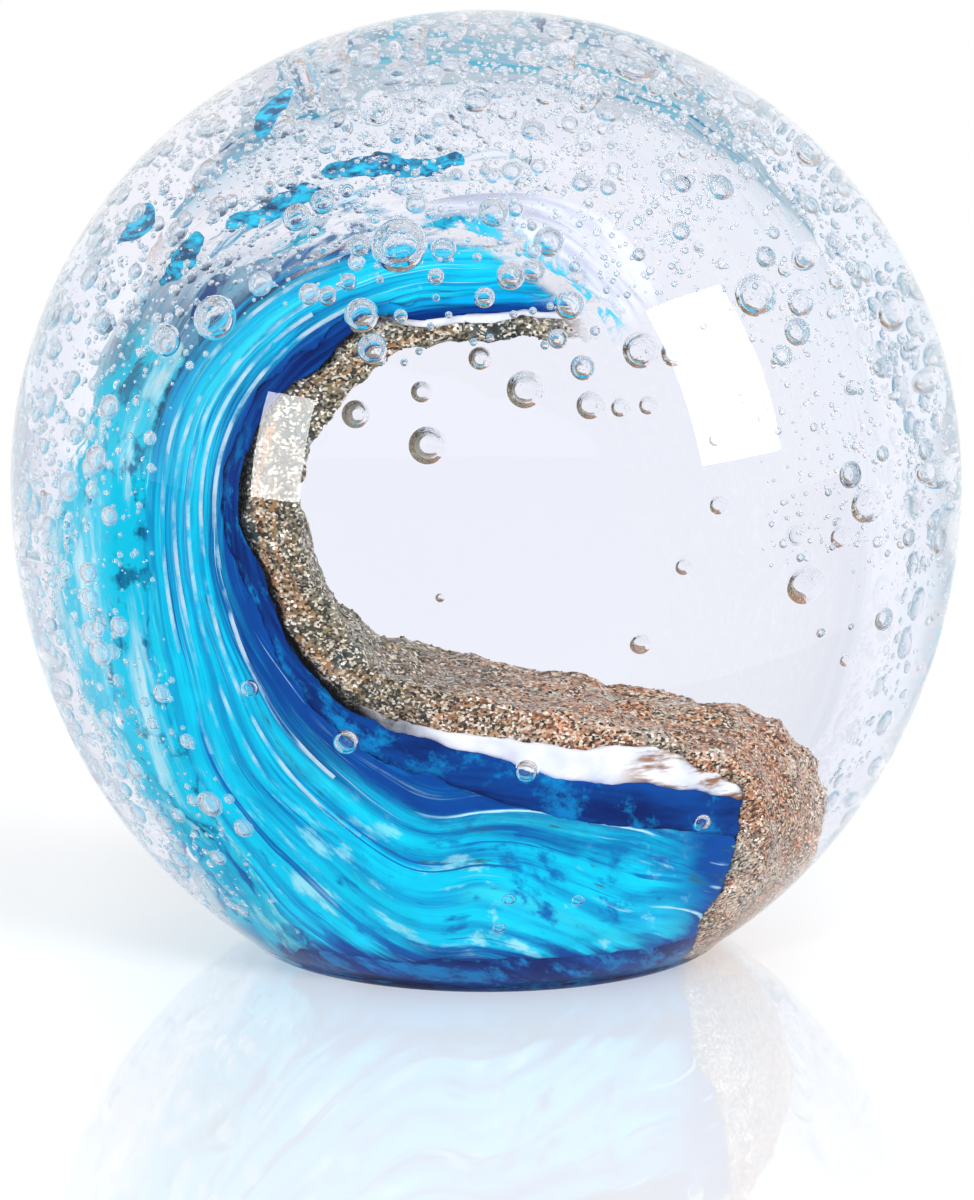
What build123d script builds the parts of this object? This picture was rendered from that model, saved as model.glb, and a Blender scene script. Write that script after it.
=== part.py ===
from build123d import *
from math import atan, cos, degrees, radians, sin, sqrt, tan
import os

os.makedirs("parts", exist_ok=True)

# Clear ball: sizes in millimetres, standing on z = 0 with its front facing -Y
ball_width = 95.0
ball_depth = 80.0
ball_height = 94.5
widest_level = 47.0
lower_reach = 53.5
base_edge_radius = 1.2

# Room inside the ball for the coloured glass, which lies nearer to the front than to the back
core_half_width = 37.0
core_half_depth = 18.5
core_forward = 5.5
core_rise = 30.0
core_reach = 60.0
core_floor = 2.0

# Hollow of the curl in front view: half an oval, then a trough that slopes down to the right
barrel_x = -1.7
barrel_level = 50.4
barrel_crest = 14.0
barrel_back = 14.0
barrel_trough = 17.2
barrel_slope = 12.0

# Layers of glass around the hollow, from the inside out: thickness over, behind and under it
sand_crest = 1.9
sand_back = 4.5
sand_trough = 3.4
sand_slope = 6.0
sand_setback = 2.4
surf_crest = 0.8
surf_back = 0.7
surf_trough = 1.3
surf_slope = 13.0
surf_setback = 1.6
cobalt_crest = 1.4
cobalt_back = 1.5
cobalt_trough = 3.2
cobalt_slope = 16.0
cobalt_setback = 0.8
water_crest = 4.6
water_back = 7.0
tip_reach = 11.0

# Foot of the wave and the shore at its right
foot_left = 13.5
foot_thickness = 4.0
shore_edge = 19.2
shore_lean = 8.0
shore_knee_level = 23.3
shore_cap = 17.0
shore_cap_level = 27.7
shore_foot = 20.5
shore_bulge = 25.3
shore_bulge_level = 18.5
shore_top = 17.5
shore_top_level = 31.0
shore_setback = 1.2

# Pale crescent of glass on the wave's back
aqua_x = -6.5
aqua_level = 41.0
aqua_radius = 28.5
aqua_setback = 3.0

# Silvery folds over the curl's tip
veil_x = 0.7
veil_level = 59.2
veil_forward = 12.0
veil_thickness = 0.8
veil_width = 3.2
veil_pitch = 4.0
veil_radii = (15.5, 15.8, 16.1)
veil_start = 25.0
veil_sweep = 87.0

# Turquoise shreds over the crest: x, y, level, length and tilt
shred_radius = 1.1
shreds = (
    (-7.9, -12.0, 78.6, 12.0, 6.0),
    (-17.9, -12.0, 75.3, 9.0, 19.0),
    (-26.5, -11.0, 69.5, 7.0, 48.0),
    (-19.5, -8.0, 83.5, 5.0, 59.0),
    (-31.8, -8.0, 72.9, 4.5, 35.0),
)

# White threads laid just in front of the turquoise water: share of its thickness, first and last angle
strand_radius = 0.2
strand_lift = 0.4
strand_points = 7
strands = (
    (0.18, 100.0, 238.0),
    (0.36, 125.0, 246.0),
    (0.52, 108.0, 226.0),
    (0.68, 140.0, 250.0),
    (0.84, 118.0, 212.0),
)

# Air bubbles: x, y, level and radius of the larger ones
barrel_bubble_list = (
    (-4.8, -14.0, 54.1, 1.6),
    (-5.2, -10.0, 57.6, 0.9),
    (3.2, -12.0, 58.3, 1.6),
    (8.4, -10.0, 56.5, 1.2),
    (10.7, -8.0, 55.8, 0.8),
    (12.8, -6.0, 55.5, 0.8),
    (-0.5, -16.0, 62.0, 1.0),
    (-10.9, -16.0, 57.2, 1.2),
    (12.9, -14.0, 62.2, 1.6),
    (15.3, -9.0, 60.6, 1.2),
    (18.6, -8.0, 47.8, 0.8),
    (15.5, -6.0, 42.5, 0.7),
    (18.2, -6.0, 52.7, 0.6),
    (-3.7, -12.0, 41.0, 0.4),
    (12.4, -10.0, 36.6, 0.9),
)
spray_bubble_list = (
    (31.1, -6.0, 47.1, 1.6),
    (25.9, -8.0, 40.9, 1.7),
    (28.4, -5.0, 44.4, 1.0),
    (23.0, -12.0, 66.7, 2.0),
    (26.6, -9.0, 65.2, 1.3),
    (28.2, -2.0, 33.4, 0.6),
)
crest_bubble_list = (
    (12.7, 0.0, 84.4, 2.4),
    (-24.4, -20.0, 67.2, 2.1),
    (-28.4, -16.0, 64.0, 1.5),
    (-7.8, -23.0, 74.6, 2.6),
    (5.6, -21.0, 74.2, 1.4),
)
water_bubble_list = (
    (-12.5, -26.0, 29.4, 1.2),
    (-21.0, -23.0, 33.8, 0.9),
    (3.6, -26.0, 26.8, 1.1),
    (19.6, -22.0, 20.4, 0.9),
    (1.2, -22.5, 9.9, 0.7),
    (2.1, -22.8, 13.3, 0.7),
    (8.4, -22.2, 13.0, 0.7),
    (-11.2, -25.5, 68.7, 1.6),
)

# Smaller bubbles strewn through the clear glass around the wave
foam_smallest = 0.35
foam_largest = 1.6
foam_wall = 0.4
back_foam_count = 220
back_foam_from = 122.0
back_foam_to = 232.0
back_foam_spread = 34.0
crest_foam_count = 220
crest_foam_from = 58.0
crest_foam_to = 122.0
crest_foam_spread = 56.0
spray_count = 90
spray_from = -24.0
spray_to = 58.0
spray_spread = 40.0
keep_clear_points = 15

# Sizes that follow from those above: how far each layer reaches from the middle of the curl
sand_reach = (barrel_crest + sand_crest, barrel_back + sand_back, barrel_trough + sand_trough)
surf_reach = (sand_reach[0] + surf_crest, sand_reach[1] + surf_back, sand_reach[2] + surf_trough)
cobalt_reach = (surf_reach[0] + cobalt_crest, surf_reach[1] + cobalt_back, surf_reach[2] + cobalt_trough)
water_reach = (cobalt_reach[0] + water_crest, cobalt_reach[1] + water_back, barrel_level - core_floor)
room_depth = core_half_depth + core_forward
ball_half = (ball_width / 2, ball_depth / 2, ball_height - widest_level, lower_reach)


def bulb(half_width, half_depth, rise, reach, floor):
    """Two half ellipsoids that meet at the widest level, cut flat at a floor."""
    with BuildPart() as body:
        with BuildSketch(Plane.XZ):
            with BuildLine():
                upper = EllipticalCenterArc((0, widest_level), half_width, rise, 0, arc_size=90)
                lower = EllipticalCenterArc((0, widest_level), half_width, reach, 0, arc_size=-90)
                Line(upper @ 1, lower @ 1)
            make_face()
        revolve(axis=Axis.Z)
        scale(by=(1, half_depth / half_width, 1))
        with Locations((0, 0, floor)):
            Box(
                4 * half_width, 4 * half_width, 2 * reach,
                align=(Align.CENTER, Align.CENTER, Align.MAX), mode=Mode.SUBTRACT,
            )
    return body.part


def core(setback):
    """Room for the colours, drawn back from the wave's front and back by a setback."""
    room = bulb(core_half_width, core_half_depth - setback, core_rise, core_reach, core_floor)
    return Pos(0, -core_forward, 0) * room


def hollow(crest, back, trough, slope):
    """Front view of all that a layer's inner side encloses, out past the curl's open side."""
    turn = degrees(atan(trough / (back * tan(radians(slope)))))
    with BuildSketch(Plane.XZ) as area:
        with BuildLine():
            roof = Line((ball_width, barrel_level + crest), (barrel_x, barrel_level + crest))
            EllipticalCenterArc((barrel_x, barrel_level), back, crest, 90, arc_size=90)
            lower = EllipticalCenterArc((barrel_x, barrel_level), back, trough, 180, arc_size=turn)
            floor = PolarLine(lower @ 1, ball_width, -slope)
            Line(floor @ 1, roof @ 0)
        make_face()
    return area.sketch_local


def outline():
    """Front view of the whole wave: nose, back, foot and shore."""
    crest, back, trough = water_reach
    with BuildSketch(Plane.XZ) as area:
        with BuildLine():
            roof = (barrel_x, barrel_level + barrel_crest)
            nose = EllipticalCenterArc(roof, tip_reach, crest - barrel_crest, 0, arc_size=90)
            upper = EllipticalCenterArc((barrel_x, barrel_level), back, crest, 90, arc_size=90)
            lower = TangentArc(upper @ 1, (-foot_left, core_floor), tangent=(0, -1))
            foot = Line(lower @ 1, (shore_foot, core_floor))
            shore = ThreePointArc(foot @ 1, (shore_bulge, shore_bulge_level), (shore_top, shore_top_level))
            Line(shore @ 1, nose @ 0)
        make_face()
    return area.sketch_local


def shore_side():
    """Front view of all to the right of the water's edge, drooping over the end of the surf line."""
    lean = (shore_knee_level - core_floor) * tan(radians(shore_lean))
    with BuildSketch(Plane.XZ) as area:
        with BuildLine():
            Polyline(
                (shore_edge, core_floor), (ball_width, core_floor), (ball_width, ball_height),
                (shore_cap, ball_height), (shore_cap, shore_cap_level),
                (shore_edge + lean, shore_knee_level), close=True,
            )
        make_face()
    return area.sketch_local


wave_area = outline()
shore_area = shore_side()
barrel_area = hollow(barrel_crest, barrel_back, barrel_trough, barrel_slope)
sand_area = hollow(*sand_reach, sand_slope)
surf_area = hollow(*surf_reach, surf_slope)
cobalt_area = hollow(*cobalt_reach, cobalt_slope)

# Sand that lines the curl and the trough
with BuildPart() as sand_lining:
    with BuildSketch(Plane.XZ):
        add(wave_area)
        add(sand_area, mode=Mode.INTERSECT)
        add(barrel_area, mode=Mode.SUBTRACT)
        add(shore_area, mode=Mode.SUBTRACT)
    extrude(amount=room_depth, both=True)
    add(core(sand_setback), mode=Mode.INTERSECT)
sand_lining.part.label = "sand_lining"
export_step(sand_lining.part, "parts/sand_lining.step")

# White line between the sand and the water
with BuildPart() as surf_line:
    with BuildSketch(Plane.XZ):
        add(wave_area)
        add(surf_area, mode=Mode.INTERSECT)
        add(sand_area, mode=Mode.SUBTRACT)
        add(shore_area, mode=Mode.SUBTRACT)
    extrude(amount=room_depth, both=True)
    add(core(surf_setback), mode=Mode.INTERSECT)
surf_line.part.label = "surf_line"
export_step(surf_line.part, "parts/surf_line.step")

# Dark blue layer under the water's surface
with BuildPart() as cobalt_lining:
    with BuildSketch(Plane.XZ):
        add(wave_area)
        add(cobalt_area, mode=Mode.INTERSECT)
        add(surf_area, mode=Mode.SUBTRACT)
        add(shore_area, mode=Mode.SUBTRACT)
    extrude(amount=room_depth, both=True)
    add(core(cobalt_setback), mode=Mode.INTERSECT)
cobalt_lining.part.label = "cobalt_lining"
export_step(cobalt_lining.part, "parts/cobalt_lining.step")

# Turquoise body of the water, from the curl's tip to just above the foot
with BuildPart() as turquoise_wave:
    with BuildSketch(Plane.XZ):
        add(wave_area)
        add(cobalt_area, mode=Mode.SUBTRACT)
        add(shore_area, mode=Mode.SUBTRACT)
        with Locations((0, core_floor)):
            Rectangle(2 * ball_width, 2 * foot_thickness, mode=Mode.SUBTRACT)
    extrude(amount=room_depth, both=True)
    add(core(0), mode=Mode.INTERSECT)
turquoise_wave.part.label = "turquoise_wave"
export_step(turquoise_wave.part, "parts/turquoise_wave.step")

# Dark blue pad under the water
with BuildPart() as cobalt_foot:
    with BuildSketch(Plane.XZ):
        add(wave_area)
        add(shore_area, mode=Mode.SUBTRACT)
        with Locations((0, core_floor)):
            Rectangle(2 * ball_width, 2 * foot_thickness, mode=Mode.INTERSECT)
    extrude(amount=room_depth, both=True)
    add(core(0), mode=Mode.INTERSECT)
cobalt_foot.part.label = "cobalt_foot"
export_step(cobalt_foot.part, "parts/cobalt_foot.step")

# Thick end of the sand, from the trough down to the foot
with BuildPart() as sand_shore:
    with BuildSketch(Plane.XZ):
        add(wave_area)
        add(shore_area, mode=Mode.INTERSECT)
        add(barrel_area, mode=Mode.SUBTRACT)
    extrude(amount=room_depth, both=True)
    add(core(shore_setback), mode=Mode.INTERSECT)
sand_shore.part.label = "sand_shore"
export_step(sand_shore.part, "parts/sand_shore.step")

# Pale crescent of glass on the back of the wave
with BuildPart() as aqua_back:
    with BuildSketch(Plane.XZ):
        with Locations((aqua_x, aqua_level)):
            Circle(aqua_radius)
        add(wave_area, mode=Mode.SUBTRACT)
        with Locations((barrel_x - barrel_back, widest_level)):
            Rectangle(ball_width, ball_height, align=(Align.MAX, Align.CENTER), mode=Mode.INTERSECT)
    extrude(amount=room_depth, both=True)
    add(core(aqua_setback), mode=Mode.INTERSECT)
aqua_back.part.label = "aqua_back"
export_step(aqua_back.part, "parts/aqua_back.step")

# Silvery folds, side by side through the room's depth
with BuildPart() as crest_veil:
    for place, veil_radius in enumerate(veil_radii):
        with BuildSketch(Plane.XZ.offset(veil_forward + (place - 1) * veil_pitch)):
            with BuildLine():
                under = CenterArc((veil_x, veil_level), veil_radius, veil_start, veil_sweep)
                over = CenterArc((veil_x, veil_level), veil_radius + veil_thickness, veil_start, veil_sweep)
                Line(under @ 0, over @ 0)
                Line(under @ 1, over @ 1)
            make_face()
        extrude(amount=veil_width / 2, both=True)
crest_veil.part.label = "crest_veil"
export_step(crest_veil.part, "parts/crest_veil.step")

# Drop-shaped shreds, each turned from half an ellipse about its own long axis
with BuildPart() as crest_shreds:
    for x, y, level, length, tilt in shreds:
        along = (cos(radians(tilt)), 0, sin(radians(tilt)))
        with BuildSketch(Plane((x, y, level), x_dir=along, z_dir=(0, -1, 0))):
            with BuildLine():
                half = EllipticalCenterArc((0, 0), length / 2, shred_radius, 0, arc_size=180)
                Line(half @ 0, half @ 1)
            make_face()
        revolve(axis=Axis((x, y, level), along))
crest_shreds.part.label = "crest_shreds"
export_step(crest_shreds.part, "parts/crest_shreds.step")


def core_front(x, level):
    """Distance from the middle of the ball forward to the wave's front at a point of the front view."""
    tall = core_rise if level > widest_level else core_reach
    share = 1 - (x / core_half_width) ** 2 - ((level - widest_level) / tall) ** 2
    return core_forward + core_half_depth * sqrt(share)


# Threads that follow the curl and fan out towards the foot, just clear of the water's front
with BuildPart() as white_strands:
    for share, start, end in strands:
        crest, back, trough = [
            inner + share * (outer - inner) for inner, outer in zip(cobalt_reach, water_reach)
        ]
        points = []
        for step in range(strand_points):
            angle = radians(start + (end - start) * step / (strand_points - 1))
            x = barrel_x + back * cos(angle)
            level = barrel_level + (crest if sin(angle) > 0 else trough) * sin(angle)
            points.append((x, -core_front(x, level) - strand_lift - strand_radius, level))
        with BuildLine() as path:
            Spline(points)
        with BuildSketch(Plane(path.line @ 0, z_dir=path.line % 0)):
            Circle(strand_radius)
        sweep(path=path.line)
white_strands.part.label = "white_strands"
export_step(white_strands.part, "parts/white_strands.step")


def span(direction, half_width, half_depth, rise, reach, forward):
    """Distance along a direction from the ball's middle to a bulb that lies forward of it."""
    x, y, z = direction
    tall = rise if z > 0 else reach
    bend = (x / half_width) ** 2 + (y / half_depth) ** 2 + (z / tall) ** 2
    shift = -y * forward / half_depth ** 2
    return (shift + sqrt(shift ** 2 + bend * (1 - (forward / half_depth) ** 2))) / bend


def foam(count, start, end, spread, placed):
    """Adds bubbles to those placed, spread evenly through the clear glass between two angles."""
    for number in range(1, count + 1):
        around, across, outward, size = [number * step % 1 for step in (0.8567, 0.7339, 0.6287, 0.5386)]
        angle = radians(start + (end - start) * around)
        aside = radians(spread * (2 * across - 1))
        radius = foam_smallest + (foam_largest - foam_smallest) * size ** 3
        direction = (cos(angle) * cos(aside), sin(aside), sin(angle) * cos(aside))
        colours = span(direction, core_half_width, core_half_depth, core_rise, core_reach, core_forward)
        nearest = colours + radius + foam_wall + 2 * strand_radius + strand_lift
        farthest = span(direction, *ball_half, 0) - radius - 2 * foam_wall
        distance = nearest + (farthest - nearest) * outward
        x, y, z = [distance * share for share in direction]
        level = widest_level + z
        gaps = [
            sqrt((x - other_x) ** 2 + (y - other_y) ** 2 + (level - other_level) ** 2) - other_radius
            for other_x, other_y, other_level, other_radius in placed
        ]
        if farthest > nearest and level > core_floor + radius and min(gaps) > radius + foam_wall:
            placed.append((x, y, level, radius))


def spheres(bubbles):
    """Air bubbles as separate round solids."""
    return [Pos(x, y, level) * Sphere(radius, mode=Mode.PRIVATE) for x, y, level, radius in bubbles]


# Places that the strewn bubbles keep clear of: the larger ones, the shreds and the folds
placed = list(barrel_bubble_list + water_bubble_list + spray_bubble_list + crest_bubble_list)
for step in range(keep_clear_points):
    share = step / (keep_clear_points - 1)
    for x, y, level, length, tilt in shreds:
        along = (share - 0.5) * length
        placed.append((x + along * cos(radians(tilt)), y, level + along * sin(radians(tilt)), shred_radius))
    turn = radians(veil_start + veil_sweep * share)
    for place, veil_radius in enumerate(veil_radii):
        x = veil_x + veil_radius * cos(turn)
        y = -veil_forward - (place - 1) * veil_pitch
        placed.append((x, y, veil_level + veil_radius * sin(turn), 0.65 * veil_width))

# Bubbles of each group: the larger ones first, then those strewn around them
first_back = len(placed)
foam(back_foam_count, back_foam_from, back_foam_to, back_foam_spread, placed)
first_crest = len(placed)
foam(crest_foam_count, crest_foam_from, crest_foam_to, crest_foam_spread, placed)
first_spray = len(placed)
foam(spray_count, spray_from, spray_to, spray_spread, placed)

with BuildPart() as barrel_bubbles:
    add(spheres(barrel_bubble_list))
barrel_bubbles.part.label = "barrel_bubbles"
export_step(barrel_bubbles.part, "parts/barrel_bubbles.step")

with BuildPart() as water_bubbles:
    add(spheres(water_bubble_list))
water_bubbles.part.label = "water_bubbles"
export_step(water_bubbles.part, "parts/water_bubbles.step")

with BuildPart() as back_foam:
    add(spheres(placed[first_back:first_crest]))
back_foam.part.label = "back_foam"
export_step(back_foam.part, "parts/back_foam.step")

with BuildPart() as crest_foam:
    add(spheres(crest_bubble_list))
    add(spheres(placed[first_crest:first_spray]))
crest_foam.part.label = "crest_foam"
export_step(crest_foam.part, "parts/crest_foam.step")

with BuildPart() as spray_bubbles:
    add(spheres(spray_bubble_list))
    add(spheres(placed[first_spray:]))
spray_bubbles.part.label = "spray_bubbles"
export_step(spray_bubbles.part, "parts/spray_bubbles.step")

# Clear ball with a cavity for everything sealed inside it
with BuildPart() as clear_casing:
    add(bulb(*ball_half, 0))
    base_face = clear_casing.faces().sort_by(Axis.Z)[0]
    fillet(base_face.edges(), base_edge_radius)
    sealed = (
        turquoise_wave, cobalt_lining, cobalt_foot, surf_line, sand_lining, sand_shore, aqua_back,
        crest_veil, crest_shreds, white_strands,
        barrel_bubbles, water_bubbles, back_foam, crest_foam, spray_bubbles,
    )
    add([piece.part for piece in sealed], mode=Mode.SUBTRACT)
clear_casing.part.label = "clear_casing"
export_step(clear_casing.part, "parts/clear_casing.step")
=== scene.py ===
import math

import bmesh
import bpy
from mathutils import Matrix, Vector


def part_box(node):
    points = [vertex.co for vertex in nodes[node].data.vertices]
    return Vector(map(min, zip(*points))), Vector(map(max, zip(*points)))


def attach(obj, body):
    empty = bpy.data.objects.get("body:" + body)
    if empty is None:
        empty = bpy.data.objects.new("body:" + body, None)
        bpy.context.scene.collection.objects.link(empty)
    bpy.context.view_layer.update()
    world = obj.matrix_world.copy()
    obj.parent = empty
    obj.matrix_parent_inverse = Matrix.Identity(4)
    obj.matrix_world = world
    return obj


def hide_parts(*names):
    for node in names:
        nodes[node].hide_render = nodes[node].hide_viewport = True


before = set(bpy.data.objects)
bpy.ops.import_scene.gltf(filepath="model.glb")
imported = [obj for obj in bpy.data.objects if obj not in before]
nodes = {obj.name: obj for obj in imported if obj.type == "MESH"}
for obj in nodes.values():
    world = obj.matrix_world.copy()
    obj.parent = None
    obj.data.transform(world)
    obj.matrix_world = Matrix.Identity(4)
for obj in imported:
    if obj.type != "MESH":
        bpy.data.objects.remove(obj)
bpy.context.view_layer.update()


# Turquoise water
# The body of the wave is streaked turquoise glass, drawn out hot along the curl and fused in.
# Its streaks follow the stream lines: round the hollow of the curl, then fanning out to the foot.
class Wire:
    """A node socket that takes plain arithmetic, in shader and geometry trees alike."""

    def __init__(self, tree, socket):
        self.tree = tree
        self.socket = socket

    def node(self, kind, settings, inputs, out=0):
        """Adds a node with its settings, plain input values and links from other sockets."""
        made = self.tree.nodes.new(kind if "Node" in kind else "ShaderNode" + kind)
        for name, value in settings.items():
            setattr(made, name, value)
        for name, value in inputs.items():
            if isinstance(value, Wire):
                self.tree.links.new(value.socket, made.inputs[name])
            else:
                made.inputs[name].default_value = value
        return Wire(self.tree, made.outputs[out])

    def maths(self, operation, first, second=0.0):
        return self.node("Math", {"operation": operation}, {0: first, 1: second})

    def __add__(self, other):
        return self.maths("ADD", self, other)

    def __radd__(self, other):
        return self.maths("ADD", other, self)

    def __sub__(self, other):
        return self.maths("SUBTRACT", self, other)

    def __rsub__(self, other):
        return self.maths("SUBTRACT", other, self)

    def __mul__(self, other):
        return self.maths("MULTIPLY", self, other)

    def __rmul__(self, other):
        return self.maths("MULTIPLY", other, self)

    def __truediv__(self, other):
        return self.maths("DIVIDE", self, other)

    def __pow__(self, other):
        return self.maths("POWER", self, other)

    def most(self, other):
        return self.maths("MAXIMUM", self, other)

    def smooth(self, low, high):
        """Rises smoothly from 0 to 1 between two values, or falls where the first is the higher."""
        limits = {"Value": self, "From Min": low, "From Max": high}
        return self.node("MapRange", {"interpolation_type": "SMOOTHSTEP"}, limits)

    def blend(self, first, second):
        """A colour between two, by this share."""
        return self.node("Mix", {"data_type": "RGBA"}, {0: self, 6: first, 7: second}, out=2)

    def parts(self):
        split = self.node("SeparateXYZ", {}, {0: self}).socket.node
        return [Wire(self.tree, output) for output in split.outputs]

    def join(self, x, y, z):
        return self.node("CombineXYZ", {}, {0: x, 1: y, 2: z})

    def vector(self, operation, first, second):
        return self.node("VectorMath", {"operation": operation}, {0: first, 1: second})

    def scaled(self, amount):
        return self.node("VectorMath", {"operation": "SCALE"}, {0: self, "Scale": amount})

    def noise(self, scale, detail=4.0, roughness=0.55, out=0):
        settings = {"Vector": self, "Scale": scale, "Detail": detail, "Roughness": roughness}
        return self.node("TexNoise", {}, settings, out)


def srgb(red, green, blue):
    """A colour given in 0 to 255, as the linear values that a shader takes."""
    shares = [value / 255 for value in (red, green, blue)]
    linear = [share / 12.92 if share <= 0.04045 else ((share + 0.055) / 1.055) ** 2.4 for share in shares]
    return (*linear, 1.0)


def begin(name):
    """An empty material and the place on its piece, in millimetres."""
    made = bpy.data.materials.new(name)
    made.use_nodes = True
    made.node_tree.nodes.clear()
    coordinates = Wire(made.node_tree, made.node_tree.nodes.new("ShaderNodeTexCoord").outputs["Object"])
    return made, coordinates.scaled(1000.0)


def end(made, surface):
    output = made.node_tree.nodes.new("ShaderNodeOutputMaterial")
    made.node_tree.links.new(surface.socket, output.inputs["Surface"])


def matt(colour, alpha=1.0):
    """Coloured glass fused into clear glass, which has no gloss of its own."""
    settings = {"Base Color": colour, "Roughness": 0.4, "Specular IOR Level": 0.0, "Alpha": alpha}
    return colour.node("BsdfPrincipled", {}, settings)


def geometry_tree(name, *sizes):
    """A geometry tree with a named input for each size, and the wires from its inputs."""
    tree = bpy.data.node_groups.new(name, "GeometryNodeTree")
    tree.interface.new_socket("Geometry", in_out="INPUT", socket_type="NodeSocketGeometry")
    for size in sizes:
        tree.interface.new_socket(size, in_out="INPUT", socket_type="NodeSocketFloat")
    tree.interface.new_socket("Geometry", in_out="OUTPUT", socket_type="NodeSocketGeometry")
    entry = tree.nodes.new("NodeGroupInput")
    return tree, {socket.name: Wire(tree, socket) for socket in entry.outputs if socket.name}


def end_tree(made):
    """Links the made geometry to the tree's output."""
    made.tree.links.new(made.socket, made.tree.nodes.new("NodeGroupOutput").inputs[0])


def grown(mesh, tree, voxel, **sizes):
    """The plain mesh that a geometry tree makes of a mesh, first evened out where a voxel is given."""
    holder = bpy.data.objects.new(mesh.name, mesh)
    bpy.context.scene.collection.objects.link(holder)
    if voxel:
        even = holder.modifiers.new("even", "REMESH")
        even.mode = "VOXEL"
        even.voxel_size = voxel
    modifier = holder.modifiers.new(tree.name, "NODES")
    modifier.node_group = tree
    for item in tree.interface.items_tree:
        if item.name in sizes:
            modifier[item.identifier] = sizes[item.name]
    made = bpy.data.meshes.new_from_object(holder.evaluated_get(bpy.context.evaluated_depsgraph_get()))
    bpy.data.objects.remove(holder)
    return made


def made_piece(name, mesh, material, slot, *replaced):
    """A finished piece that rides with the sculpture and stands for CAD nodes."""
    for polygon in mesh.polygons:
        polygon.use_smooth = True
    if not mesh.materials:
        mesh.materials.append(material)
    piece = bpy.data.objects.new(name, mesh)
    bpy.context.scene.collection.objects.link(piece)
    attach(piece, "root")
    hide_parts(*replaced)
    return piece


def drift(spot, scale, amount):
    """A smooth random offset that depends on the place alone, so that neighbours move together."""
    return spot.vector("SUBTRACT", spot.noise(scale, 2.0, out=1), (0.5, 0.5, 0.5)).scaled(amount)


sway, entry = geometry_tree("sway", "Swell", "Bend", "Ripple")
spot = entry["Geometry"].node("GeometryNodeInputPosition", {}, {})
outward = spot.node("GeometryNodeInputNormal", {}, {}).scaled(entry["Swell"])
swayed = spot.vector("ADD", drift(spot, 90.0, entry["Bend"]), drift(spot, 330.0, entry["Ripple"]))
moved = {"Geometry": entry["Geometry"], "Offset": spot.vector("ADD", swayed, outward)}
end_tree(spot.node("GeometryNodeSetPosition", {}, moved))

SWELL = 0.00012
BEND = 0.0045
RIPPLE = 0.0012
COARSE_VOXEL = 0.0005
MEDIUM_VOXEL = 0.0004
FINE_VOXEL = 0.0003


def molten(node, voxel, ripple=RIPPLE):
    """A copy of a CAD node with its edges rounded, swayed as hot glass is, in step with its neighbours."""
    copy = bmesh.new()
    copy.from_mesh(nodes[node].data)
    bmesh.ops.remove_doubles(copy, verts=copy.verts, dist=1e-6)
    mesh = bpy.data.meshes.new(node + "_molten")
    copy.to_mesh(mesh)
    copy.free()
    return grown(mesh, sway, voxel, Swell=SWELL, Bend=BEND, Ripple=ripple)


CURL_X = -1.7
CURL_LEVEL = 50.4
INNER_CREST = 18.1
INNER_BACK = 20.7
INNER_TROUGH = 25.1
INNER_FALL = math.tan(math.radians(16.0))
OUTER_CREST = 22.7
OUTER_BACK = 27.7
OUTER_FOOT = 48.4
OUTER_FALL = 1.3
FALL_EASE = 6.0
STREAM_RADIUS = 24.0


def stream(place):
    """Distances along and across the stream lines of the water, and through its depth, in millimetres."""
    x, deep, z = place.parts()
    ahead = (x - CURL_X).most(0.0)
    behind = (CURL_X - x).most(0.0)
    above = z - CURL_LEVEL
    lower = place.maths("LESS_THAN", above, 0.0)
    eased = ahead * ahead / (ahead + FALL_EASE)
    inner_rise = lower * (eased * INNER_FALL + (INNER_TROUGH - INNER_CREST)) + INNER_CREST
    outer_rise = lower * (eased * OUTER_FALL + (OUTER_FOOT - OUTER_CREST)) + OUTER_CREST
    inner = ((behind / INNER_BACK) ** 2.0 + (above / inner_rise) * (above / inner_rise)) ** 0.5
    outer = ((behind / OUTER_BACK) ** 2.0 + (above / outer_rise) * (above / outer_rise)) ** 0.5
    share = outer * (inner - 1.0) / (inner - outer)
    turn = place.maths("ARCTAN2", above * -1.0, behind)
    along = turn * STREAM_RADIUS + ahead * (lower * 2.0 - 1.0)
    return along, share * (OUTER_BACK - INNER_BACK), deep, z


TIP_X = -4.5
TIP_LEVEL = 72.4
TIP_DROP = 0.043


def kept(place):
    """1 where a layer is whole, 0 past the crest's tip and behind its front, where it is drawn out."""
    x, deep, level = place.parts()
    wander = (place.noise(0.45, 4.0, 0.65) - 0.5) * 4.0
    ahead = (x - TIP_X).most(0.0)
    over = (level + ahead * ahead * TIP_DROP + wander * 0.4).smooth(TIP_LEVEL - 0.3, TIP_LEVEL + 0.5)
    past = (x + wander).smooth(6.5, 9.5) * level.smooth(55.0, 58.0)
    behind = level.smooth(58.0, 66.0) * (deep + ahead * 0.4).smooth(-15.0, -10.5)
    return (1.0 - over) * (1.0 - past) * (1.0 - behind)


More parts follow.
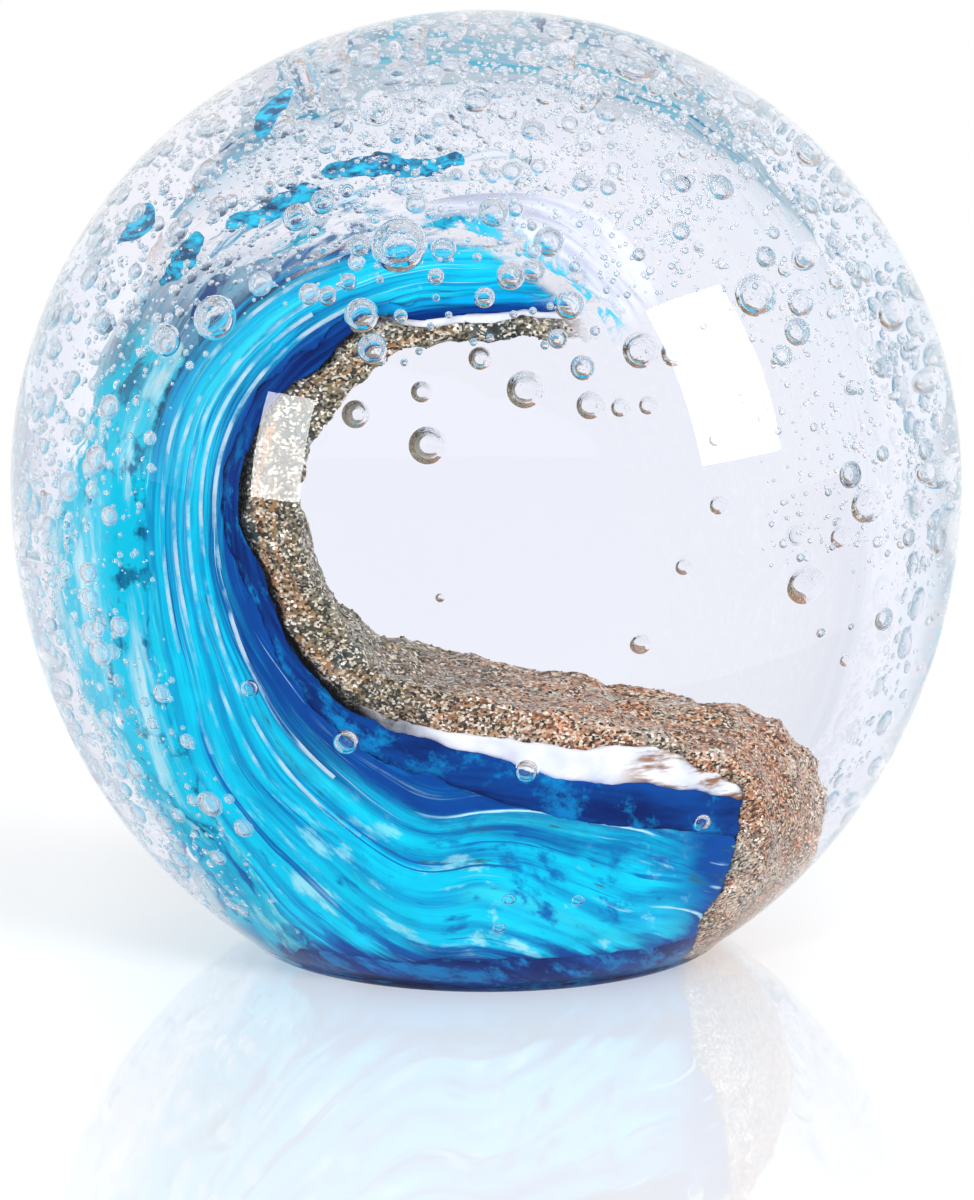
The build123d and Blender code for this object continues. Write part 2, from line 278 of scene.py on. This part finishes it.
water, place = begin("turquoise_glass")
along, across, deep, level = stream(place)
lines = across + place.noise(0.05, 1.0) * 2.4
fine = place.join(along * 0.035, lines * 1.9, deep * 0.15).noise(1.0, 5.0, 0.62)
broad = place.join(along * 0.05, lines * 0.7, deep * 0.1).noise(1.0, 3.0, 0.5)
thread = place.join(along * 0.03, lines * 4.4, deep * 0.25).noise(1.0, 3.0, 0.5)
patch = place.join(along * 0.17, lines * 0.75, deep * 0.12).noise(1.0, 5.0, 0.62)
low_down = level.smooth(30.0, 14.0)
crest = along.smooth(-24.0, -32.0)
shore_end = along.smooth(40.0, 54.0)
colour = fine.smooth(0.38, 0.60).blend(srgb(0, 162, 214), srgb(0, 214, 246))
colour = broad.smooth(0.54, 0.72).blend(colour, srgb(50, 230, 248))
colour = (patch.smooth(0.56, 0.66) * low_down).blend(colour, srgb(4, 112, 184))
colour = (patch.smooth(0.45, 0.35) * low_down).blend(colour, srgb(160, 240, 250))
seam = across + (fine - 0.5) * 5.0 + crest * 1.6 + shore_end
colour = seam.smooth(2.8, 0.2).blend(colour, srgb(4, 72, 152))
sunk = (level + (fine - 0.5) * 10.0).smooth(8.5, 5.5)
edge = (place.parts()[0] + (fine - 0.5) * 12.0).smooth(16.0, 20.5)
colour = sunk.most(edge).blend(colour, srgb(4, 76, 156))
stray = place.join(along * 0.12, lines * 2.2, deep * 0.3).noise(1.0, 4.0, 0.7)
brown = stray.smooth(0.60, 0.70) * seam.smooth(5.0, 2.0) * seam.smooth(0.0, 1.5)
colour = brown.blend(colour, srgb(54, 100, 104))
colour = (thread.smooth(0.42, 0.34) * broad.smooth(0.62, 0.44)).blend(colour, srgb(4, 110, 186))
colour = (thread.smooth(0.62, 0.72) * broad.smooth(0.40, 0.58)).blend(colour, srgb(190, 241, 252))
colour = (deep.smooth(-1.0, 5.0) * fine.smooth(0.62, 0.46)).blend(colour, srgb(222, 240, 248))
ragged = across + (fine - 0.5) * 7.0
rim = 1.0 - level.smooth(50.0, 62.0) * ragged.smooth(5.4, 7.2)
shreds = place.join(along * 0.09, lines * 0.5, deep * 0.22).noise(1.0, 4.0, 0.6)
alpha = rim * kept(place).most(shreds.smooth(0.50, 0.60) * along.smooth(-43.0, -39.0))
end(water, matt(colour, alpha))
made_piece("water", molten("turquoise_wave", COARSE_VOXEL), water, "turquoise_glass", "turquoise_wave")


# Cobalt layers
# A dark blue gather lines the inner side of the curl, and a second one makes the pad under the water.
cobalt, place = begin("cobalt_glass")
along, across, deep, level = stream(place)
fine = place.join(along * 0.05, across * 1.3, deep * 0.15).noise(1.0, 5.0, 0.6)
patch = place.join(along * 0.26, across * 1.0, deep * 0.2).noise(1.0, 6.0, 0.7)
colour = fine.smooth(0.35, 0.65).blend(srgb(4, 34, 100), srgb(6, 72, 152))
lining = level.smooth(8.0, 12.0)
inner_side = (across + 2.0) * 0.03 - along.smooth(40.0, 56.0) * 0.06
mottle = patch + (1.0 - lining) * 0.06 + lining * inner_side
colour = (mottle.smooth(0.53, 0.68) * level.smooth(62.0, 48.0)).blend(colour, srgb(4, 130, 194))
outer_half = (across + (fine - 0.5) * 2.0).smooth(-1.7, -0.9) * along.smooth(-24.0, -32.0)
colour = outer_half.blend(colour, srgb(0, 176, 234))
colour = (deep.smooth(-1.0, 5.0) * fine.smooth(0.62, 0.46)).blend(colour, srgb(150, 214, 238))
end(cobalt, matt(colour, kept(place)))
made_piece("cobalt", molten("cobalt_lining", MEDIUM_VOXEL), cobalt, "cobalt_glass", "cobalt_lining")
made_piece("pad", molten("cobalt_foot", COARSE_VOXEL), cobalt, "cobalt_glass", "cobalt_foot")


# White surf line
# A thin opal white gather parts the water from the sand. It is drawn out to almost nothing behind the curl,
# widens towards the shore and is stained brown where it ends.
white, place = begin("white_glass")
x, deep, level = place.parts()
cloud = place.noise(0.3, 4.0)
stain = place.join(x * 0.2, deep * 0.25, level * 0.9).noise(1.0, 4.0, 0.6)
colour = cloud.smooth(0.35, 0.65).blend(srgb(230, 234, 245), srgb(252, 253, 255))
colour = (stain.smooth(0.44, 0.60) * x.smooth(10.5, 14.5)).blend(colour, srgb(158, 118, 88))
wide = (x + (cloud - 0.5) * 8.0).smooth(-11.0, -4.0)
end(white, matt(colour, wide * kept(place)))
made_piece("surf", molten("surf_line", FINE_VOXEL), white, "white_glass", "surf_line")


# Sand
# Crushed copper-gold and grey glass, rolled on hot: each grain has its own colour, and a few random grains
# carry a painted glint, near white and partly metallic. It is greyer in the curl and more like copper at the
# shore.
SAND_RIPPLE = 0.0022
GRAIN_DENSITY = 1.5e6
GRAIN_SMALLEST = 0.00006
GRAIN_LARGEST = 0.00016


def grit(colour, roughness, metallic, place):
    """A grain's own finish, faded where the layer is drawn out to nothing."""
    settings = {"Base Color": colour, "Roughness": roughness, "Metallic": metallic, "Alpha": kept(place)}
    return place.node("BsdfPrincipled", {}, settings)


sand, place = begin("sand_grains")
x, deep, level = place.parts()
drawn = place.join(x * 0.75, deep, level)
cell = place.node("TexVoronoi", {"feature": "F1"}, {"Vector": drawn, "Scale": 5.0}, out=1)
pick, glint, tone = cell.parts()
along, across, deep, level = stream(place)
flow = place.join(along * 0.05, across * 0.55, deep * 0.12).noise(1.0, 4.0, 0.6)
band = place.noise(0.2, 4.0)
copper = (x + level * -0.5).smooth(-30.0, -6.0) * band.smooth(0.25, 0.60)
colour = pick.smooth(0.15, 0.85).blend(srgb(62, 62, 48), srgb(142, 132, 104))
colour = flow.smooth(0.46, 0.36).blend(colour, srgb(172, 124, 74))
colour = copper.blend(colour, pick.smooth(0.1, 0.9).blend(srgb(134, 76, 46), srgb(232, 162, 114)))
colour = (band.smooth(0.54, 0.64) * (1.0 - copper * 0.7)).blend(colour, srgb(40, 62, 62))
colour = (flow.smooth(0.54, 0.64) * 0.4).blend(colour, srgb(208, 206, 194))
colour = tone.smooth(0.78, 0.90).blend(colour, srgb(220, 208, 184))
colour = tone.smooth(0.36, 0.18).blend(colour, srgb(34, 30, 24))
# Painted glint: a few random cells are coloured near white, and are also made partly metallic.
painted_glint_and_metal = glint.smooth(0.88, 0.95)
colour = painted_glint_and_metal.blend(colour, srgb(250, 238, 220))
end(sand, grit(colour, 0.35, painted_glint_and_metal * 0.5, place))

grain, place = begin("loose_grains")
chance = place.node("Attribute", {"attribute_name": "grain"}, {}, out=2)
x, _, level = place.parts()
warm = (x + level * -0.5).smooth(-30.0, -6.0)
dark = warm.blend(srgb(52, 54, 44), srgb(106, 60, 36))
pale = warm.blend(srgb(154, 146, 118), srgb(232, 166, 118))
colour = chance.smooth(0.1, 0.8).blend(dark, pale)
# Painted glint: a few random loose grains are coloured near white, and are also made partly metallic.
painted_glint_and_metal = chance.smooth(0.90, 0.96)
colour = painted_glint_and_metal.blend(colour, srgb(252, 244, 232))
end(grain, grit(colour, 0.25, painted_glint_and_metal * 0.6, place))

strew, entry = geometry_tree("strew", "Density", "Smallest", "Largest")
bed = {"Mesh": entry["Geometry"], "Density": entry["Density"], "Seed": 4}
points = entry["Geometry"].node("GeometryNodeDistributePointsOnFaces", {}, bed)
chance = points.node("FunctionNodeRandomValue", {}, {"Seed": 5}, out=1)
size = entry["Smallest"] + (entry["Largest"] - entry["Smallest"]) * chance * chance
ball = points.node("GeometryNodeMeshIcoSphere", {}, {"Radius": 1.0, "Subdivisions": 1})
placed = points.node("GeometryNodeInstanceOnPoints", {}, {"Points": points, "Instance": ball, "Scale": size})
kind = points.node("FunctionNodeRandomValue", {}, {"Seed": 6}, out=1)
named = {"Geometry": placed, "Name": "grain", "Value": kind}
placed = points.node("GeometryNodeStoreNamedAttribute", {"domain": "INSTANCE"}, named)
real = points.node("GeometryNodeRealizeInstances", {}, {0: placed})
end_tree(points.node("GeometryNodeSetMaterial", {}, {"Geometry": real, "Material": grain}))

for node in ("sand_lining", "sand_shore"):
    body = molten(node, MEDIUM_VOXEL, SAND_RIPPLE)
    sizes = {"Smallest": GRAIN_SMALLEST, "Largest": GRAIN_LARGEST}
    loose = grown(body, strew, 0.0, Density=GRAIN_DENSITY, **sizes)
    made_piece(node + "_body", body, sand, "sand_grains", node)
    made_piece(node + "_loose", loose, grain, "sand_grains")


# Pale glass on the wave's back
# A thin wash of turquoise over clear glass, broken up by foam.
aqua, place = begin("aqua_glass")
along, across, deep, _ = stream(place)
fine = place.join(along * 0.06, across * 0.5, deep * 0.15).noise(1.0, 5.0, 0.6)
froth = place.noise(0.35, 4.0, 0.6)
colour = fine.smooth(0.50, 0.68).blend(srgb(0, 208, 238), srgb(206, 243, 250))
alpha = (froth * 0.6 + fine * 0.4).smooth(0.41, 0.50) * deep.smooth(0.0, -5.0)
end(aqua, matt(colour, alpha))
made_piece("aqua", molten("aqua_back", COARSE_VOXEL), aqua, "aqua_glass", "aqua_back")


# White threads
# Threads of opal white glass trailed over the water before the last clear gather.
thread_glass, place = begin("thread_glass")
along, across, deep, _ = stream(place)
beads = place.join(along * 0.25, across * 0.3, deep * 0.1).noise(1.0, 3.0)
colour = beads.smooth(0.35, 0.65).blend(srgb(120, 224, 248), srgb(226, 246, 252))
end(thread_glass, matt(colour, beads.smooth(0.40, 0.64) * 0.5))
nodes["white_strands"].data.materials.clear()
nodes["white_strands"].data.materials.append(thread_glass)


# Silvery folds and shreds over the crest
# A film of silvery white glass is folded over the curl's tip, with torn bits of the turquoise above it.
VEIL_STEPS = 96
VEIL_FRONT = {"x": -8.0, "y": -19.0, "level": 53.9, "radius": 21.4, "start": 26.0, "sweep": 59.0}
VEIL_BACK = {"x": 0.7, "y": -10.0, "level": 59.2, "radius": 15.9, "start": 22.0, "sweep": 97.0}
CROSS_FOLD = 0.0004
LONG_FOLD = 0.0003
SHRED_RIPPLE = 0.003


def veil_edge(share, x, y, level, radius, start, sweep):
    """A point of the arc along one edge of the film, from its lower right end to its upper left end."""
    turn = math.radians(start + sweep * share)
    return Vector((x + radius * math.cos(turn), y, level + radius * math.sin(turn))) / 1000


film = bmesh.new()
run_layer = film.verts.layers.float.new("run")
breadth_layer = film.verts.layers.float.new("breadth")
rows = []
for step in range(VEIL_STEPS + 1):
    share = step / VEIL_STEPS
    front = veil_edge(share, **VEIL_FRONT)
    back = veil_edge(share, **VEIL_BACK)
    row = []
    for column in range(VEIL_STEPS // 2 + 1):
        over = 2 * column / VEIL_STEPS
        fold = CROSS_FOLD * math.sin(13.0 * over + 4.0 * share)
        fold += LONG_FOLD * math.sin(9.0 * share + 5.0 * over)
        vert = film.verts.new(front.lerp(back, over) + Vector((0.5 * fold, 0.0, fold)))
        vert[run_layer] = share
        vert[breadth_layer] = over
        row.append(vert)
    rows.append(row)
for lower, upper in zip(rows, rows[1:]):
    for column in range(VEIL_STEPS // 2):
        film.faces.new((lower[column], upper[column], upper[column + 1], lower[column + 1]))
mesh = bpy.data.meshes.new("veil")
film.to_mesh(mesh)
film.free()

silver, place = begin("silver_glass")
run = place.node("Attribute", {"attribute_name": "run"}, {}, out=2)
breadth = place.node("Attribute", {"attribute_name": "breadth"}, {}, out=2)
silk = place.join(run * 2.2, breadth * 9.0, 0.0).noise(1.0, 5.0, 0.6)
tear = place.join(run * 9.0, breadth * 4.0, 3.0).noise(1.0, 4.0, 0.6)
colour = silk.smooth(0.36, 0.56).blend(srgb(198, 205, 225), srgb(236, 239, 250))
lower_edge = (breadth + (tear - 0.5) * 0.5).smooth(0.36, 0.26)
colour = lower_edge.blend(colour, tear.smooth(0.42, 0.58).blend(srgb(4, 150, 206), srgb(20, 212, 244)))
whole = 0.9 - lower_edge * tear.smooth(0.56, 0.46) * 0.9
edges = run.smooth(0.0, 0.12) * run.smooth(1.0, 0.82) * breadth.smooth(1.0, 0.9)
end(silver, matt(colour, edges * whole))
made_piece("veil", mesh, silver, "silver_glass", "crest_veil")

torn, place = begin("torn_turquoise")
x, deep, level = place.parts()
grainy = place.join(x * 0.45, deep * 0.6, level * 1.2).noise(1.0, 4.0, 0.65)
colour = grainy.smooth(0.42, 0.60).blend(srgb(6, 104, 158), srgb(10, 200, 236))
end(torn, matt(colour, grainy.smooth(0.38, 0.48)))
shreds_mesh = molten("crest_shreds", FINE_VOXEL, SHRED_RIPPLE)
made_piece("shreds", shreds_mesh, torn, "turquoise_glass", "crest_shreds")


# Air bubbles
# Each is a round hollow in the clear glass, so light bends the other way at its wall.
GLASS_IOR = 1.5
WHITE = (1.0, 1.0, 1.0, 1.0)


def through_for_lamps(surface):
    """Lets lamp light and scattered light straight through, as they would be too dim to trace."""
    path = surface.tree.nodes.new("ShaderNodeLightPath")
    shadow = Wire(surface.tree, path.outputs["Is Shadow Ray"])
    scattered = Wire(surface.tree, path.outputs["Is Diffuse Ray"])
    clear = surface.node("BsdfTransparent", {}, {"Color": WHITE})
    return surface.node("MixShader", {}, {0: shadow.most(scattered), 1: surface, 2: clear})


air, place = begin("air_bubble")
end(air, through_for_lamps(place.node("BsdfGlass", {}, {"IOR": 1.0 / GLASS_IOR, "Roughness": 0.0})))

MILKY_SHARE = 0.15
foam_air, place = begin("foam_bubble")
hollow = place.node("BsdfGlass", {}, {"IOR": 1.0 / GLASS_IOR, "Roughness": 0.0})
milky = matt(place.noise(0.5, 2.0).blend(srgb(232, 241, 247), srgb(250, 252, 254)))
end(foam_air, through_for_lamps(place.node("MixShader", {}, {0: MILKY_SHARE, 1: hollow, 2: milky})))


def islands(node):
    """Centre and radius of each separate round solid in a CAD node."""
    mesh = bmesh.new()
    mesh.from_mesh(nodes[node].data)
    bmesh.ops.remove_doubles(mesh, verts=mesh.verts, dist=1e-6)
    seen = set()
    found = []
    for start in mesh.verts:
        if start in seen:
            continue
        seen.add(start)
        waiting = [start]
        group = []
        while waiting:
            vert = waiting.pop()
            group.append(vert.co)
            for edge in vert.link_edges:
                other = edge.other_vert(vert)
                if other not in seen:
                    seen.add(other)
                    waiting.append(other)
        low = Vector([min(point[axis] for point in group) for axis in range(3)])
        high = Vector([max(point[axis] for point in group) for axis in range(3)])
        found.append(((low + high) / 2, (high.z - low.z) / 2))
    mesh.free()
    return found


for group in ("barrel_bubbles", "back_foam", "crest_foam", "spray_bubbles", "water_bubbles"):
    bubbles = bmesh.new()
    for centre, radius in islands(group):
        ball = bmesh.ops.create_icosphere(bubbles, subdivisions=4 if radius > 0.001 else 3, radius=radius)
        bmesh.ops.translate(bubbles, verts=ball["verts"], vec=centre)
    mesh = bpy.data.meshes.new(group + "_round")
    bubbles.to_mesh(mesh)
    bubbles.free()
    made_piece(group + "_round", mesh, foam_air if group == "back_foam" else air, "air_bubble", group)


# Fine foam
# Thousands of smaller bubbles, whipped into the clear glass behind, over and ahead of the curl.
WIDEST_LEVEL = 0.047
LOWER_REACH = 0.0535
BELT_STEPS = 40
BELT_ROWS = 5
BELT_REACH = 0.97
CASING_WALL = 0.0015
NEAREST_SHARE = -0.75
FARTHEST_SHARE = 0.6
BUBBLES = {"Smallest": 0.00035, "Largest": 0.0012, "Faces": 2.0, "Seed": 11.0}
FROTH = {"Smallest": 0.0001, "Largest": 0.00036, "Faces": 1.0, "Seed": 12.0}
low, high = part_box("clear_casing")
half_width = (high.x - low.x) / 2
half_depth = (high.y - low.y) / 2
rise = high.z - WIDEST_LEVEL


def belt(name, first_angle, last_angle, inner_back, inner_crest, inner_foot):
    """A flat strip in front view between the wave and the ball's edge, which knows the room in depth."""
    strip = bmesh.new()
    room = strip.verts.layers.float.new("room")
    crowd = strip.verts.layers.float.new("crowd")
    rows = []
    for step in range(BELT_STEPS + 1):
        turn = math.radians(first_angle + (last_angle - first_angle) * step / BELT_STEPS)
        tall = rise if math.sin(turn) > 0 else LOWER_REACH
        inner_tall = inner_crest if math.sin(turn) > 0 else inner_foot
        near_x = CURL_X + inner_back * math.cos(turn)
        near = Vector((near_x, 0.0, CURL_LEVEL + inner_tall * math.sin(turn))) / 1000
        far = Vector((half_width * math.cos(turn), 0.0, WIDEST_LEVEL + tall * math.sin(turn)))
        row = []
        for part in range(BELT_ROWS + 1):
            share = BELT_REACH * part / BELT_ROWS
            vert = strip.verts.new(near.lerp(far, share))
            lift = vert.co.z - WIDEST_LEVEL
            inside = 1 - (vert.co.x / half_width) ** 2 - (lift / (rise if lift > 0 else LOWER_REACH)) ** 2
            vert[room] = max(0.0, half_depth * math.sqrt(max(0.0, inside)) - CASING_WALL)
            vert[crowd] = 1.0 - 0.5 * share
            row.append(vert)
        rows.append(row)
    for first, second in zip(rows, rows[1:]):
        for part in range(BELT_ROWS):
            strip.faces.new((first[part], second[part], second[part + 1], first[part + 1]))
    mesh = bpy.data.meshes.new(name)
    strip.to_mesh(mesh)
    strip.free()
    return mesh


foam, entry = geometry_tree("foam", "Density", "Smallest", "Largest", "Faces", "Seed")
crowd = entry["Geometry"].node("GeometryNodeInputNamedAttribute", {"data_type": "FLOAT"}, {"Name": "crowd"})
room = entry["Geometry"].node("GeometryNodeInputNamedAttribute", {"data_type": "FLOAT"}, {"Name": "room"})
bed = {"Mesh": entry["Geometry"], "Density": entry["Density"] * crowd, "Seed": entry["Seed"]}
points = crowd.node("GeometryNodeDistributePointsOnFaces", {}, bed)
depth = points.node("FunctionNodeRandomValue", {}, {2: NEAREST_SHARE, 3: FARTHEST_SHARE, "Seed": 7}, out=1)
shifted = {"Geometry": points, "Offset": points.join(0.0, depth * room, 0.0)}
points = points.node("GeometryNodeSetPosition", {}, shifted)
chance = points.node("FunctionNodeRandomValue", {}, {"Seed": 8}, out=1)
size = entry["Smallest"] + (entry["Largest"] - entry["Smallest"]) * chance * chance
ball = points.node("GeometryNodeMeshIcoSphere", {}, {"Radius": 1.0, "Subdivisions": entry["Faces"]})
placed = points.node("GeometryNodeInstanceOnPoints", {}, {"Points": points, "Instance": ball, "Scale": size})
real = points.node("GeometryNodeRealizeInstances", {}, {0: placed})
end_tree(points.node("GeometryNodeSetMaterial", {}, {"Geometry": real, "Material": foam_air}))

for name, first_angle, last_angle, inner_reach, bubble_density, froth_density in (
    ("back", 128.0, 236.0, (28.0, 22.5, 44.0), 4.5e5, 3.0e6),
    ("crest", 52.0, 128.0, (28.0, 22.0, 44.0), 2.5e5, 6.5e6),
    ("spray", -12.0, 52.0, (26.0, 25.0, 30.0), 6.0e4, 2.2e6),
):
    strip = belt(name + "_belt", first_angle, last_angle, *inner_reach)
    larger = grown(strip, foam, 0.0, Density=bubble_density, **BUBBLES)
    finer = grown(strip, foam, 0.0, Density=froth_density, **FROTH)
    made_piece(name + "_bubbles", larger, foam_air, "air_bubble")
    made_piece(name + "_froth", finer, foam_air, "air_bubble")


# Clear casing
# One thick gather of clear crystal over everything, a little flattened, ground flat and polished underneath.
BASE_EDGE = 0.0012
BASE_LEAN = 0.6
BASE_STEPS = 6
ROUND_STEPS = 192
PROFILE_STEPS = 128
flatness = half_depth / half_width
base_angle = math.asin((WIDEST_LEVEL - BASE_EDGE) / LOWER_REACH)
profile = []
for step in range(1, PROFILE_STEPS):
    angle = math.pi / 2 - (math.pi / 2 + base_angle) * step / (PROFILE_STEPS - 1)
    tall = rise if angle > 0 else LOWER_REACH
    profile.append((half_width * math.cos(angle), WIDEST_LEVEL + tall * math.sin(angle)))
wall_x, wall_z = profile[-1]
for step in range(1, BASE_STEPS + 1):
    bend = math.pi / 2 * step / BASE_STEPS
    inward = BASE_EDGE * (1 - math.cos(bend)) + BASE_EDGE * BASE_LEAN * math.sin(bend)
    profile.append((wall_x - inward, wall_z - BASE_EDGE * math.sin(bend)))
ball = bmesh.new()
top = ball.verts.new((0, 0, high.z))
middle = ball.verts.new((0, 0, 0))
rings = []
for radius, height in profile:
    ring = []
    for step in range(ROUND_STEPS):
        turn = 2 * math.pi * step / ROUND_STEPS
        ring.append(ball.verts.new((radius * math.cos(turn), flatness * radius * math.sin(turn), height)))
    rings.append(ring)
for step in range(ROUND_STEPS):
    after = (step + 1) % ROUND_STEPS
    ball.faces.new((top, rings[0][step], rings[0][after]))
    ball.faces.new((middle, rings[-1][after], rings[-1][step]))
    for upper, lower in zip(rings, rings[1:]):
        ball.faces.new((upper[step], lower[step], lower[after], upper[after]))
mesh = bpy.data.meshes.new("casing")
ball.to_mesh(mesh)
ball.free()

crystal, place = begin("clear_crystal")
tint = place.noise(0.03, 1.0).blend(srgb(239, 241, 253), srgb(242, 244, 254))
settings = {"Base Color": tint, "Roughness": 0.0, "IOR": GLASS_IOR, "Transmission Weight": 1.0}
end(crystal, through_for_lamps(place.node("BsdfPrincipled", {}, settings)))
made_piece("casing", mesh, crystal, "clear_crystal", "clear_casing")


# Floor, light and camera
# A plain white glossy sheet, one soft lamp to the left and a larger one to the right, as in a small studio.
# The camera sees the floor and room white. The ball mirrors both as dark on the camera's side, to show little
# but the lamps there. Through its glass the floor is evenly white, and the room grey only towards the camera.
def light_rays(tree):
    """1 or 0 for each kind of ray that shows a surface: straight, mirrored, or seen through glass."""
    path = tree.nodes.new("ShaderNodeLightPath")
    kinds = ("Is Camera Ray", "Is Glossy Ray", "Is Transmission Ray")
    straight, polished, through_glass = [Wire(tree, path.outputs[kind]) for kind in kinds]
    return straight, polished * (1.0 - through_glass), through_glass


floor_mesh = bmesh.new()
bmesh.ops.create_grid(floor_mesh, x_segments=1, y_segments=1, size=3.0)
mesh = bpy.data.meshes.new("floor")
floor_mesh.to_mesh(mesh)
floor_mesh.free()
floor = bpy.data.objects.new("floor", mesh)
bpy.context.scene.collection.objects.link(floor)
FLOOR_SOLID = 130.0
FLOOR_END = 200.0
FLOOR_GLOW = 0.11
SIDE_GLOW = 0.08
sheet, place = begin("floor_sheet")
x, deep, _ = place.parts()
straight, mirrored, through_glass = light_rays(place.tree)
beside = place.maths("ABSOLUTE", x).smooth(26.0, 46.0)
glow = straight.most(mirrored) * (beside * SIDE_GLOW + FLOOR_GLOW)
distance = place.node("VectorMath", {"operation": "LENGTH"}, {0: place}, out=1)
settings = {
    "Base Color": srgb(242, 243, 246), "Roughness": 0.03, "IOR": 1.65,
    "Alpha": distance.smooth(FLOOR_END, FLOOR_SOLID),
    "Emission Color": glow.blend((0.0, 0.0, 0.0, 1.0), WHITE), "Emission Strength": 1.0,
}
glossy = place.node("BsdfPrincipled", {}, settings)
lit = place.node("Emission", {}, {"Color": WHITE, "Strength": 1.03})
unlit = place.node("Emission", {}, {"Color": WHITE, "Strength": 0.2})
floor_look = place.node("MixShader", {}, {0: through_glass, 1: glossy, 2: lit})
nearer = deep.smooth(5.0, -25.0)
end(sheet, place.node("MixShader", {}, {0: mirrored * nearer, 1: floor_look, 2: unlit}))
floor.data.materials.append(sheet)

world = bpy.data.worlds.new("studio")
bpy.context.scene.world = world
world.use_nodes = True
tree = world.node_tree
direction = Wire(tree, tree.nodes.new("ShaderNodeTexCoord").outputs["Generated"])
toward_back = direction.parts()[1]
ROOM = (0.32, 0.34, 0.39, 1.0)
DARK = (0.10, 0.11, 0.13, 1.0)
FILL = (0.68, 0.68, 0.68, 1.0)
straight, mirrored, through_glass = light_rays(tree)
around = toward_back.smooth(-0.96, -0.72).most(straight).blend(ROOM, WHITE)
in_mirror = toward_back.smooth(-0.80, 0.0).blend(DARK, WHITE)
seen = straight.most(mirrored).most(through_glass).blend(FILL, mirrored.blend(around, in_mirror))
tree.links.new(seen.socket, tree.nodes["Background"].inputs["Color"])

TARGET = Vector((0.0, 0.0, 0.05))
LAMP_DISTANCE = 0.7
for name, azimuth, elevation, width, height, power in (
    ("left_softbox", -43.5, 10.5, 0.14, 0.25, 1.4),
    ("right_softbox", 55.5, 23.0, 0.26, 0.41, 2.9),
):
    lamp = bpy.data.lights.new(name, "AREA")
    lamp.shape = "RECTANGLE"
    lamp.size = width
    lamp.size_y = height
    lamp.energy = power
    holder = bpy.data.objects.new(name, lamp)
    turn = math.radians(azimuth)
    climb = math.radians(elevation)
    away = Vector((math.sin(turn) * math.cos(climb), -math.cos(turn) * math.cos(climb), math.sin(climb)))
    holder.location = TARGET + away * LAMP_DISTANCE
    holder.rotation_euler = away.to_track_quat("Z", "Y").to_euler()
    holder.visible_camera = False
    holder.visible_transmission = False
    bpy.context.scene.collection.objects.link(holder)

CAMERA_ELEVATION = math.radians(14.0)
CAMERA_DISTANCE = 0.62
CAMERA_ASIDE = 0.0001
CAMERA_DROP = 0.0115
FOCAL_LENGTH = 186.0
lens = bpy.data.cameras.new("camera")
lens.lens = FOCAL_LENGTH
lens.clip_start = 0.01
camera = bpy.data.objects.new("camera", lens)
upward = Vector((0.0, math.sin(CAMERA_ELEVATION), math.cos(CAMERA_ELEVATION)))
backward = Vector((0.0, -math.cos(CAMERA_ELEVATION), math.sin(CAMERA_ELEVATION)))
middle = Vector((CAMERA_ASIDE, 0.0, WIDEST_LEVEL))
camera.location = middle + backward * CAMERA_DISTANCE - upward * CAMERA_DROP
camera.rotation_euler = (math.pi / 2 - CAMERA_ELEVATION, 0.0, 0.0)
bpy.context.scene.collection.objects.link(camera)
bpy.context.scene.camera = camera

scene = bpy.context.scene
scene.view_settings.view_transform = "Standard"
scene.cycles.max_bounces = 32
scene.cycles.transmission_bounces = 32
scene.cycles.glossy_bounces = 16
scene.cycles.transparent_max_bounces = 64
